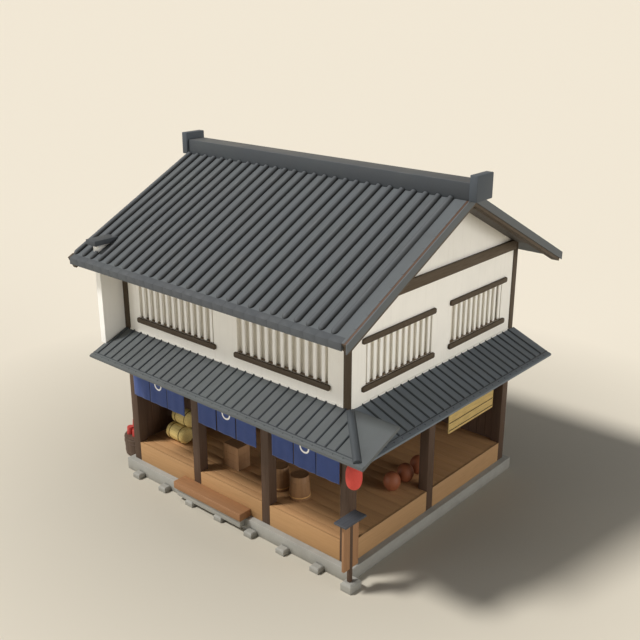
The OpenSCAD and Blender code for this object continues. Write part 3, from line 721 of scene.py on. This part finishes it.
ends, battens, soffit = Form(), Form(), Form()
wide = (under["soffit"][1] - under["soffit"][0]) / under["boards"]
lineEnd = topEnd - under["ridgeEnd"]
for side in (-1, 1):  # squared ends of the left verge boards, lining under the street side's overhang
    slopeBar(ends, side, under["outer"], under["end"], under["deep"], under["top"])
    slopeBar(ends, side, under["inner"], under["end"], under["deep"], under["slab"])
    slopeBar(battens, side, under["batten"], (under["battenEnd"], lineEnd), under["battenDeep"],
             under["slab"])
    for k in range(under["boards"]):
        x = under["soffit"][0] + k * wide
        slopeBar(soffit, side, (x + under["gap"], x + wide - under["gap"]), (under["from"], lineEnd),
                 under["soffitDeep"], under["slab"], 0.3 + 0.2 * k)
showPiece(ends, "left_verge_ends", "vergeDark", "dark_wood", bevel=0.004, steps=2)
showPiece(battens, "verge_battens", "vergeDark", "dark_wood", bevel=0.003)
showPiece(soffit, "soffit_boards", "soffit", "dark_wood", bevel=0.002)

verge = {"cover": (3.296, 3.341), "thick": 0.006, "low": -0.004, "start": 0.004, "drop": 0.003}
boards = softened("verge_boards", 0.003, "verge", "dark_wood").data
boards.materials.append(finish["vergeDark"])
for face in boards.polygons:  # the street side's top faces take the redder, lighter verge wood, a painted highlight; all other faces the darker copy
    face.material_index = 0 if face.normal.z > 0.5 and face.center.x > 0 else 1
form = Form()
count = round(topEnd / roof["tile"])
size = (topEnd - verge["start"]) / count
for side in (-1, 1):
    for k in range(count):
        a = verge["start"] + k * size
        slopeBar(form, side, verge["cover"], (a, a + size - roof["joint"]), verge["low"], verge["thick"],
                 0.4 + 0.2 * (k % 2), verge["drop"])
showPiece(form, "verge_cover_tiles", "tile", "roof_tile", bevel=0.001)
print("main roof tiled")


# pent roof: slim ribs, a raised edge, thin rolls and small pegs

pent = {"wallY": -2.5, "wallX": 2.86, "top": 3.125, "slope": 0.41, "over": 0.85, "pitch": 0.20566,
        "lastX": 3.178, "lastY": 2.328, "start": -0.012, "half": 0.018, "high": 0.024, "stop": 0.745,
        "tip": ((0.012, 1.0), (0.003, 0.8), (0.0, 0.35)), "ribs": (28, 23), "hip": 0.05, "play": 0.003,
        "edge": 0.060, "edgeEnd": 0.004, "edgeHigh": 0.008,
        "beads": ((0.0, 0.009, 0.008), (0.044, 0.004, 0.005)), "round": 8, "beadRound": 6, "pegRound": 10,
        "peg": 0.009, "pegLong": 1.6, "pegIn": 0.052, "pegRings": ((0.0, 1.0), (0.009, 1.0), (0.013, 0.6))}
pentTilt = math.atan(pent["slope"])


def pentPoint(face, u, out, high):  # out from the wall, measured flat
    z = pent["top"] - pent["slope"] * out + high * math.cos(pentTilt)
    out += high * math.sin(pentTilt)
    return (u, pent["wallY"] - out, z) if face == "front" else (pent["wallX"] + out, u, z)


def ribForm(face, low, high, centre=0.0):
    turns = halfTurns(pent["round"])
    stops = [(low, 1.0)] + [(high - back, share) for back, share in pent["tip"]]
    return Form().rings([[pentPoint(face, centre + pent["half"] * share * math.cos(t), out,
                                    pent["high"] * share * math.sin(t)) for t in turns]
                         for out, share in stops])


def pentBar(form, face, ends, profile):  # straight bar along the eave, profile of (out, high)
    form.rings([[pentPoint(face, u, out, high) for out, high in profile] for u in ends])


unit = makePiece(ribForm("front", pent["start"], pent["stop"]), "unit", "rib")
start, step = (pent["lastX"] - 2 * pent["pitch"], 0, 0), (-pent["pitch"], 0, 0)
ribs = [laySpots(unit, "frontRibs", rowSpots(start, step, pent["ribs"][0]), 4)]
for k in (0, 1):  # the two that start at the hip
    x = pent["lastX"] - k * pent["pitch"]
    start = x - pent["wallX"] + pent["hip"]
    ribs.append(makePiece(ribForm("front", start, pent["stop"], x), "hipRib", "rib"))
keepPiece(joinPieces("front_pent_ribs", ribs), "pent_tile")
sideStep = (0, -pent["pitch"], 0)
showSpots(ribForm("right", pent["start"], pent["stop"]), "right_pent_ribs", "rib", "pent_tile",
          rowSpots((0, pent["lastY"], 0), sideStep, pent["ribs"][1]), 4)

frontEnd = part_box("pent_roof_front")[0].x + pent["play"]
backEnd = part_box("pent_roof_right")[1].y - pent["play"]
eaves = {"front": {"look": "pent", "edge": (frontEnd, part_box("pent_roof_front")[1].x - pent["play"]),
                   "bead": (frontEnd, 3.56), "beadOut": 0.742,
                   "pegs": ((pent["lastX"] + 2 * pent["pitch"], 0, 0), step, 32)},
         "right": {"look": "pentSide", "edge": (-3.08, backEnd), "bead": (-2.95, backEnd), "beadOut": 0.752,
                   "pegs": ((0, pent["lastY"], 0), sideStep, 25)}}
inner, outer = pent["over"] - pent["edge"], pent["over"] - pent["edgeEnd"]
profile = ((inner, 0.0), (outer, 0.0), (outer, pent["edgeHigh"]), (inner, pent["edgeHigh"]))
for face, own in eaves.items():  # thin raised band
    form = Form()
    pentBar(form, face, own["edge"], profile)
    showPiece(form, face + "_eave_edge", own["look"], "pent_tile", bevel=0.002)
turns = halfTurns(pent["beadRound"])
for face, own in eaves.items():  # two thin rolls
    form = Form()
    for out, half, tall in pent["beads"]:
        profile = [(own["beadOut"] + out + half * math.cos(t), tall * math.sin(t)) for t in turns]
        pentBar(form, face, own["bead"], profile)
    showPiece(form, face + "_eave_beads", "rib", "pent_tile")
turns = wholeTurns(pent["pegRound"])
middle, wide, long = pent["over"] - pent["pegIn"], pent["peg"], pent["pegLong"] * pent["peg"]
for face, own in eaves.items():  # small pegs
    form = Form().rings([[pentPoint(face, wide * share * math.cos(t),
                                    middle + long * share * math.sin(t), high) for t in turns]
                         for high, share in pent["pegRings"]])
    showSpots(form, face + "_eave_pegs", "rib", "pent_tile", rowSpots(*own["pegs"]), 8)
print("pent roof ribbed")


# plaster bars and dark sills in the upper windows

bars = {"wide": 0.066, "deep": 0.026, "round": 0.002, "low": 3.44, "high": 4.16, "over": 0.002,
        "front": {"plane": -2.485, "back": 0.005}, "side": {"plane": 2.845, "back": 0.016},
        "rows": {"front_left_bars": ("front", -1.313, 12, 0.1723),
                 "front_right_bars": ("front", 1.367, 11, 0.1818),
                 "side_near_bars": ("side", -1.187, 11, 0.1665),
                 "side_back_bars": ("side", 1.2249, 10, 0.1652)}}
for name, (face, middle, count, pitch) in bars["rows"].items():
    plane, near = bars[face]["plane"], bars[face]["back"]
    half, far = bars["wide"] / 2, near + bars["deep"]
    low, high = bars["low"] - bars["over"], bars["high"] + bars["over"]
    first = middle - pitch * (count - 1) / 2
    if face == "front":
        form = Form().box((-half, near, low), (half, far, high))
        spots = rowSpots((first, plane, 0), (pitch, 0, 0), count)
    else:
        form = Form().box((-far, -half, low), (-near, half, high))
        spots = rowSpots((plane, first, 0), (0, pitch, 0), count)
    showSpots(form, name, "white", "white_plaster", spots, 3, bevel=bars["round"], steps=2)

sill = {"thick": 0.008, "front": (-2.4845, -2.4105), "side": (2.7705, 2.8445), "play": 0.001,
        "frontScreens": -2.35, "sideScreens": 2.7}
jamb = {"deep": 2.80, "face": 2.8452, "start": 2.008, "past": 0.002}
points = [v.co for v in cad["window_screens"].data.vertices]
frontX = sorted({round(p.x, 3) for p in points if p.y < sill["frontScreens"]})
sideY = sorted({round(p.y, 3) for p in points if p.x > sill["sideScreens"]})
low, high = bars["low"], bars["low"] + sill["thick"]
form = Form()
for k in (0, 2):  # the bars stand on the sills
    a, b = frontX[k] + sill["play"], frontX[k + 1] - sill["play"]
    form.box((a, sill["front"][0], low), (b, sill["front"][1], high))
    a, b = sideY[k] + sill["play"], sideY[k + 1] - sill["play"]
    form.box((sill["side"][0], a, low), (sill["side"][1], b, high))
# the sills take a much paler copy of the rails' dark wood: painted light in the shaded recess
showPiece(form, "window_sills", "sill", "dark_wood", bevel=0.002)
end = sideY[3] + jamb["past"]  # plaster past the back window's last bar
form = Form().box((jamb["deep"], jamb["start"], low), (jamb["face"], end, bars["high"]))
showPiece(form, "side_back_jamb", "plaster", "plaster", bevel=0.001)
print("window bars set")


# cloth curtains on the rod

curtain = {"columns": 15, "rows": 26, "fold": 0.0055, "thick": 0.002, "turnOver": 0.034, "ringRadius": 0.094,
           "ringHalf": 0.016, "ringZ": 2.165, "colour": tint(64, 80, 130), "slit": 0.008, "slitShare": 0.8,
           "slitShadeWidth": 0.012, "hangY": -2.5425, "rodY": -2.5360, "rodTop": 0.0035, "ease": 0.06, "turn": 6.28,
           "curl": 0.004, "sag": 0.003, "sagTall": 0.1, "waves": (1.6, 2.4), "lean": (-0.4, 0.4), "lag": 0.6,
           "calm": 0.25, "seed": 21}


def hangCurtain(nodeName, seed):
    low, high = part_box(nodeName)
    width, drop = high.x - low.x, high.z - low.z
    panel = (width - 2 * curtain["slit"]) / 3
    pitch = panel + curtain["slit"]
    long = drop + curtain["turnOver"]
    chance = random.Random(seed)
    ranges = ((0, curtain["turn"]), curtain["waves"], curtain["lean"])
    swing = [[chance.uniform(*ends) for ends in ranges] for _ in range(3)]
    mesh = bpy.data.meshes.new(nodeName + "_cloth")
    work = bmesh.new()
    uvLayer = work.loops.layers.uv.new("cut")
    columns, rows = curtain["columns"], curtain["rows"]
    across = [(i, i * pitch + panel * k / columns) for i in range(3) for k in range(columns + 1)]
    grid, flat = {}, {}
    for c, (i, u) in enumerate(across):
        phase, waves, lean = swing[i]
        local = (u - i * pitch) / panel
        for r in range(rows + 1):
            v = long * r / rows  # from the hem up
            hang = max(0.0, 1.0 - v / drop)
            wave = math.sin(phase + local * waves * curtain["turn"] + curtain["lag"] * hang)
            wave *= curtain["calm"] + (1 - curtain["calm"]) * hang
            edge = (abs(local - 0.5) * 2) ** 3 * curtain["curl"] * hang * lean
            y = curtain["hangY"] + curtain["fold"] * wave + edge
            z = low.z + v
            if v > drop:  # turned over the rod
                y, z = curtain["rodY"] + (v - drop), high.z + curtain["rodTop"]
            elif v > drop - curtain["ease"]:
                share = (v - drop + curtain["ease"]) / curtain["ease"]
                y = y * (1 - share) + curtain["rodY"] * share
            z -= curtain["sag"] * math.sin(local * math.pi) * (1 - min(1.0, v / curtain["sagTall"]))
            grid[c, r] = work.verts.new((low.x + u, y, z))
            flat[c, r] = (u, v)
    cutRow = int(rows * drop * curtain["slitShare"] / long)
    for c in range(len(across) - 1):
        joined = across[c][0] == across[c + 1][0]
        for r in range(0 if joined else cutRow, rows):
            keys = [(c, r), (c + 1, r), (c + 1, r + 1), (c, r + 1)]
            face = work.faces.new([grid[k] for k in keys])
            for loop, key in zip(face.loops, keys):
                loop[uvLayer].uv = flat[key]
    bmesh.ops.recalc_face_normals(work, faces=work.faces)
    work.to_mesh(mesh)
    work.free()
    for face in mesh.polygons:
        face.use_smooth = True
    slitTall = long * cutRow / rows
    ring = {"u": width / 2, "v": curtain["ringZ"] - low.z, "radius": curtain["ringRadius"],
            "half": curtain["ringHalf"], "slitShadeWidth": curtain["slitShadeWidth"], "slitTop": slitTall,
            "slits": [panel + curtain["slit"] / 2 + i * pitch for i in range(2)]}
    mesh.materials.append(wovenCloth(nodeName + "Cloth", curtain["colour"], ring))
    piece = linked(nodeName + "_cloth", mesh)
    shell = piece.modifiers.new("thickness", "SOLIDIFY")
    shell.thickness = curtain["thick"]
    shell.offset = 0.0
    keepPiece(piece, "indigo_cloth", nodeName)


for k, side in enumerate(("left", "middle", "right")):
    hangCurtain("curtain_" + side, curtain["seed"] + k)
print("curtains hung")


# reed blind

blind = {"rod": 0.0062, "pitch": 0.0131, "strings": 4, "slats": (1.577, 1.733), "slat": 0.009, "foot": 0.018,
         "edge": 0.005, "string": 0.003, "stringFace": (0.0005, 0.003), "back": 0.003, "face": 0.004,
         "play": 0.001}
low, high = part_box("reed_blind")
form = Form().lathe([(blind["rod"], low.y), (blind["rod"], high.y)], 6)
form.points = [(p[0], p[2], p[1]) for p in form.points]  # lay the reed along the blind
spots = rowSpots(((low.x + high.x) / 2, 0, low.z + blind["rod"]), (0, 0, blind["pitch"]),
                 int((high.z - low.z) / blind["pitch"]))
showSpots(form, "blind_reeds", "reed", "reed", spots, 9, "reed_blind", sharp=80.0)
form = Form()
x0, x1, play = low.x - blind["back"], high.x + blind["face"], blind["play"]
for z in blind["slats"]:
    form.box((x0, low.y + play, z - blind["slat"]), (x1, high.y - play, z + blind["slat"]), 0.4)
showPiece(form, "blind_slats", "reedDark", "reed", bevel=0.002)
form = Form()
form.box((x0 - play, low.y - play, low.z), (x1 + play, high.y + play, low.z + blind["foot"]), 0.7)
for y in (low.y, high.y):
    form.box((x0, y - blind["edge"], low.z), (x1, y + blind["edge"], high.z), 0.7)
near, far = blind["stringFace"]
for k in range(blind["strings"]):
    y = low.y + (high.y - low.y) * (k + 0.5) / blind["strings"]
    for x0, x1 in ((high.x + near, high.x + far), (low.x - far, low.x - near)):
        form.box((x0, y - blind["string"], low.z), (x1, y + blind["string"], high.z), 0.5)
showPiece(form, "blind_edges_and_strings", "reed", "reed", bevel=0.0005)
print("blind made")


# lantern at the corner

lamp = {"ribs": 17, "perRib": 4, "swell": 0.0035, "tall": 0.44, "radius": 0.132, "round": 40, "hook": 0.008,
        "capSink": 0.012, "hookGap": 0.014, "bulge": 2.6, "close": 0.93, "root": 2.4,
        "cap": ((0.0, -0.006), (0.05, -0.006), (0.056, 0.0), (0.056, 0.022), (0.05, 0.028), (0.0, 0.028))}
low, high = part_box("lantern")
x, y = (low.x + high.x) / 2, (low.y + high.y) / 2
outline = [(0.0, 0.0)]
steps = lamp["ribs"] * lamp["perRib"]
for k in range(steps + 1):
    t = k / steps
    r = lamp["radius"] * max(0.0, 1 - abs(2 * t - 1) ** lamp["bulge"] * lamp["close"]) ** (1 / lamp["root"])
    r -= lamp["swell"] * (1 - abs(math.sin(math.pi * lamp["ribs"] * t)))
    outline.append((r, lamp["tall"] * t))
outline.append((0.0, lamp["tall"]))
form = Form().lathe(outline, lamp["round"], (x, y, low.z))
showPiece(form, "lantern_paper", "lantern", "red_paper", "lantern", sharp=60.0)
wide, top = lamp["hook"], low.z + lamp["tall"]
hook = high.z - top - lamp["hookGap"]
form = Form().lathe(lamp["cap"], 32, (x, y, top - lamp["capSink"]))
form.lathe([(0.0, 0.0), (wide, 0.0), (wide, hook), (0.0, hook)], 10, (x, y, top + lamp["capSink"]))
showPiece(form, "lantern_cap", "lacquer", "dark_wood", "lantern")
print("lantern made")


# coopered goods: tub, fire buckets and pails

def staved(own, centre=(0, 0, 0)):  # lathe whose skin is split in staves
    count, per = own["round"], own["round"] // own["staves"]
    tones = [chance.random() for _ in range(own["staves"])]
    form = Form().lathe(own["outline"], count, centre, "z",
                        lambda k, angle, height: 0.0 if k % per else -own["groove"])
    form.tone = [tones[(i % count) // per] for i in range(len(form.points))]
    return form


def addHoop(form, radius, height, deep, tall, centre, count):
    outline = [(radius, height), (radius + deep, height + tall * 0.2), (radius + deep, height + tall * 0.8),
               (radius, height + tall), (radius - deep, height + tall), (radius - deep, height)]
    form.rings([[(centre[0] + r * math.cos(a), centre[1] + r * math.sin(a), centre[2] + z)
                 for r, z in outline] for a in wholeTurns(count)], closed=True)


def lidBoards(form, spot, radius, count, low, high):  # round lid of straight boards
    wide, gap, steps = 2 * radius / count, 0.0015, 6
    for k in range(count):
        x0, x1 = -radius + k * wide + gap, -radius + (k + 1) * wide - gap
        xs = [x0 + (x1 - x0) * i / steps for i in range(steps + 1)]
        edge = [(x, math.sqrt(radius ** 2 - x * x)) for x in xs]
        edge += [(x, -y) for x, y in edge[::-1]]
        form.rings([[(spot[0] + x, spot[1] + y, spot[2] + z) for x, y in edge] for z in (low, high)],
                   chance.random())


chance = random.Random(31)
tub = {"rim": 0.402, "round": 96, "staves": 24, "groove": 0.003,
       "hoops": ((0.3862, 0.0624), (0.3974, 0.2808)), "hoop": (0.004, 0.022), "hoopRound": 72,
       "lidRadius": 0.373, "lidBoards": 5, "lid": (0.378, 0.416),
       "outline": ((0.0, 0.004), (0.376, 0.004), (0.382, 0.01), (0.399, 0.384), (0.394, 0.39), (0.376, 0.39),
                   (0.374, 0.37), (0.0, 0.37))}
low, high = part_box("water_tub")
tubSpot = (low.x + tub["rim"], (low.y + high.y) / 2, low.z)
showPiece(staved(tub, tubSpot), "tub_staves", "tub", "wall_wood", "water_tub", sharp=25.0)
form = Form()
for radius, height in tub["hoops"]:
    addHoop(form, radius, height, *tub["hoop"], tubSpot, tub["hoopRound"])
showPiece(form, "tub_hoops", "tub", "dark_wood")
form = Form()
lidBoards(form, tubSpot, tub["lidRadius"], tub["lidBoards"], *tub["lid"])
showPiece(form, "tub_lid", "tub", "wall_wood", "water_tub", bevel=0.002)

bucket = {"foot": 0.09, "tall": 0.16, "play": 0.0003, "round": 42, "staves": 14, "groove": 0.0016,
          "hoops": (0.03, 0.115), "hoop": (0.0022, 0.011), "hoopRound": 28, "hoopRadius": 0.086,
          "fall": 0.0147 / 0.152,
          "outline": ((0.0, 0.012), (0.074, 0.012), (0.078, 0.0), (0.0855, 0.0), (0.0862, 0.004),
                      (0.0715, 0.156), (0.068, 0.16), (0.0, 0.16))}
low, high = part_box("fire_buckets")
pitch = 2 * bucket["foot"] + bucket["play"]
spots = []
for tier in (3, 2, 1):
    z = low.z + (3 - tier) * (bucket["tall"] + bucket["play"])
    offsets = [(i - (tier - 1) / 2) * pitch for i in range(tier)]
    spots += [(tubSpot[0] + a, tubSpot[1] + b, z) for a in offsets for b in offsets]
showSpots(staved(bucket), "fire_bucket_staves", "bucket", "red_paint", spots, 15, "fire_buckets", sharp=25.0)
form = Form()
for height in bucket["hoops"]:
    radius = bucket["hoopRadius"] - bucket["fall"] * height
    addHoop(form, radius, height, *bucket["hoop"], (0, 0, 0), bucket["hoopRound"])
showSpots(form, "fire_bucket_hoops", "bucket", "red_paint", spots, 16)

pail = {"foot": 0.204, "fall": 0.033 / 0.462, "round": 72, "staves": 18, "groove": 0.0024,
        "hoopDeep": 0.004, "hoopIn": 0.001, "hoopRound": 56,
        "hoops": {"pail_hoops": ("hoop", 0.048, 0.026), "pail_bands": ("pail", 0.33, 0.018)},
        "lidRadius": 0.1535, "lidBoards": 3, "lid": (0.432, 0.456),
        "outline": ((0.0, 0.006), (0.182, 0.006), (0.184, 0.0), (0.201, 0.0), (0.203, 0.003), (0.171, 0.458),
                    (0.168, 0.462), (0.153, 0.462), (0.184, 0.02), (0.0, 0.02))}
low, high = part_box("pails")
y = (low.y + high.y) / 2
pailSpots = [(low.x + pail["foot"], y, low.z), (high.x - pail["foot"], y, low.z)]
showSpots(staved(pail), "pail_staves", "pail", "crate_wood", pailSpots, 17, "pails", sharp=25.0)
for name, (look, height, size) in pail["hoops"].items():
    form = Form()
    radius = pail["foot"] - pail["fall"] * (height + size / 2) - pail["hoopIn"]
    addHoop(form, radius, height, pail["hoopDeep"], size, (0, 0, 0), pail["hoopRound"])
    showSpots(form, name, look, "crate_wood", pailSpots, 18)
form = Form()
for spot in pailSpots:
    lidBoards(form, spot, pail["lidRadius"], pail["lidBoards"], *pail["lid"])
showPiece(form, "pail_lids", "pail", "crate_wood", bevel=0.0015)
print("coopered goods made")


# straw bales, crate and jars

bale = {"radius": 0.1675, "long": 0.54, "round": 84, "rings": 46, "ropes": (-0.14, 0.14), "rope": 0.008,
        "apart": 0.1694, "play": 0.002, "ends": ((0.0, 0.012), (0.05, 0.004), (0.10, 0.0)), "inset": 0.006,
        "taper": 0.07, "narrow": 0.26, "bend": 2.2, "pinchWide": 0.018, "pinch": 0.009, "ropeSteps": (72, 8),
        "ropeSink": 0.004, "strand": 0.16, "twist": 22}
low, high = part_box("straw_bales")
x, y, z = (low.x + high.x) / 2, (low.y + high.y) / 2, low.z + bale["radius"] + bale["play"]
baleSpots = [(x, y - bale["apart"], z), (x, y + bale["apart"], z), (x, y, z + bale["apart"] * math.sqrt(3))]


def baleOutline():
    half = bale["long"] / 2
    outline = [(r, inset - half) for r, inset in bale["ends"]]
    for k in range(bale["rings"] + 1):
        x = (half - bale["inset"]) * (2 * k / bale["rings"] - 1)
        end = max(0.0, abs(x) - (half - bale["taper"])) / bale["taper"]
        pinch = sum(math.exp(-((x - rope) / bale["pinchWide"]) ** 2) for rope in bale["ropes"])
        r = bale["radius"] * (1 - bale["narrow"] * end ** bale["bend"])
        outline.append((r - bale["pinch"] * pinch, x))
    return outline + [(r, half - inset) for r, inset in bale["ends"][::-1]]


def strawRipple(k, angle, x):
    stalk = 0.0022 * math.sin(k * 2.4) + 0.0016 * math.sin(k * 5.1 + x * 9.0)
    return stalk + 0.002 * noise.noise(Vector((x * 14.0, math.cos(angle) * 2.5, math.sin(angle) * 2.5)))


def ropeRing(rope, a):  # section of a twisted rope at one turn round the bale
    ring = []
    for b in wholeTurns(bale["ropeSteps"][1]):
        thick = bale["rope"] * (1 + bale["strand"] * math.cos(2 * b))
        turned = b + a * bale["twist"]
        r = bale["radius"] - bale["ropeSink"] + thick * math.cos(turned)
        ring.append((rope + thick * math.sin(turned), r * math.cos(a), r * math.sin(a)))
    return ring


form = Form().lathe(baleOutline(), bale["round"], (0, 0, 0), "x", strawRipple)
bales = showSpots(form, "bale_straw", "straw", "straw", baleSpots, 19, "straw_bales", sharp=70.0)
form = Form()
for rope in bale["ropes"]:
    form.rings([ropeRing(rope, a) for a in wholeTurns(bale["ropeSteps"][0])], closed=True)
showSpots(form, "bale_ropes", "rope", "straw", baleSpots, 20, sharp=80.0)

crate = {"boards": 3, "thick": 0.016, "gap": 0.0008, "play": 0.0005, "floor": (0.002, 0.018)}
low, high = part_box("crate")
rows, t, gap = crate["boards"], crate["thick"], crate["gap"]
chance = random.Random(41)
bodyTop = high.z - t
form = Form()
for k in range(rows):
    z0 = low.z + (bodyTop - low.z) * k / rows + gap
    z1 = low.z + (bodyTop - low.z) * (k + 1) / rows - gap
    for y0, y1 in ((low.y, low.y + t), (high.y - t, high.y)):
        form.box((low.x, y0, z0), (high.x, y1, z1), chance.random())
    for x0, x1 in ((low.x, low.x + t), (high.x - t, high.x)):
        y0, y1 = low.y + t + crate["play"], high.y - t - crate["play"]
        form.box((x0, y0, z0), (x1, y1, z1), chance.random())
for k in range(rows):
    x0 = low.x + (high.x - low.x) * k / rows + gap
    x1 = low.x + (high.x - low.x) * (k + 1) / rows - gap
    form.box((x0, low.y, bodyTop), (x1, high.y, high.z), chance.random())
z0, z1 = [low.z + z for z in crate["floor"]]
form.box((low.x + t, low.y + t, z0), (high.x - t, high.y - t, z1), 0.3)
showPiece(form, "crate_boards", "crate", "crate_wood", "crate", bevel=0.0015)

jar = {"round": 44, "steps": 24, "base": 15.0, "stopper": 0.004, "dish": (0.006, 0.003),
       "neck": (0.036, 0.034)}
low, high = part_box("jars")
girth, tall = (high.x - low.x) / 2, high.z - low.z - jar["stopper"]
base = math.radians(jar["base"])
rim, deep = jar["dish"]
outline = [(0.0, deep), (girth * math.sin(base) - rim, deep)]
for k in range(jar["steps"] + 1):
    a = base + (math.pi - 2 * base) * k / jar["steps"]
    outline.append((girth * math.sin(a), tall / 2 * (1 - math.cos(a) / math.cos(base))))
top = tall + jar["stopper"]
outline += [(jar["neck"][0], tall), (jar["neck"][1], top), (0.0, top)]
form = Form().lathe(outline, jar["round"])
spots = rowSpots((low.x + girth, low.y + girth, low.z), (0, (high.y - low.y - 2 * girth) / 2, 0), 3)
showSpots(form, "clay_jars", "clay", "clay", spots, 23, "jars", sharp=50.0)
print("goods made")
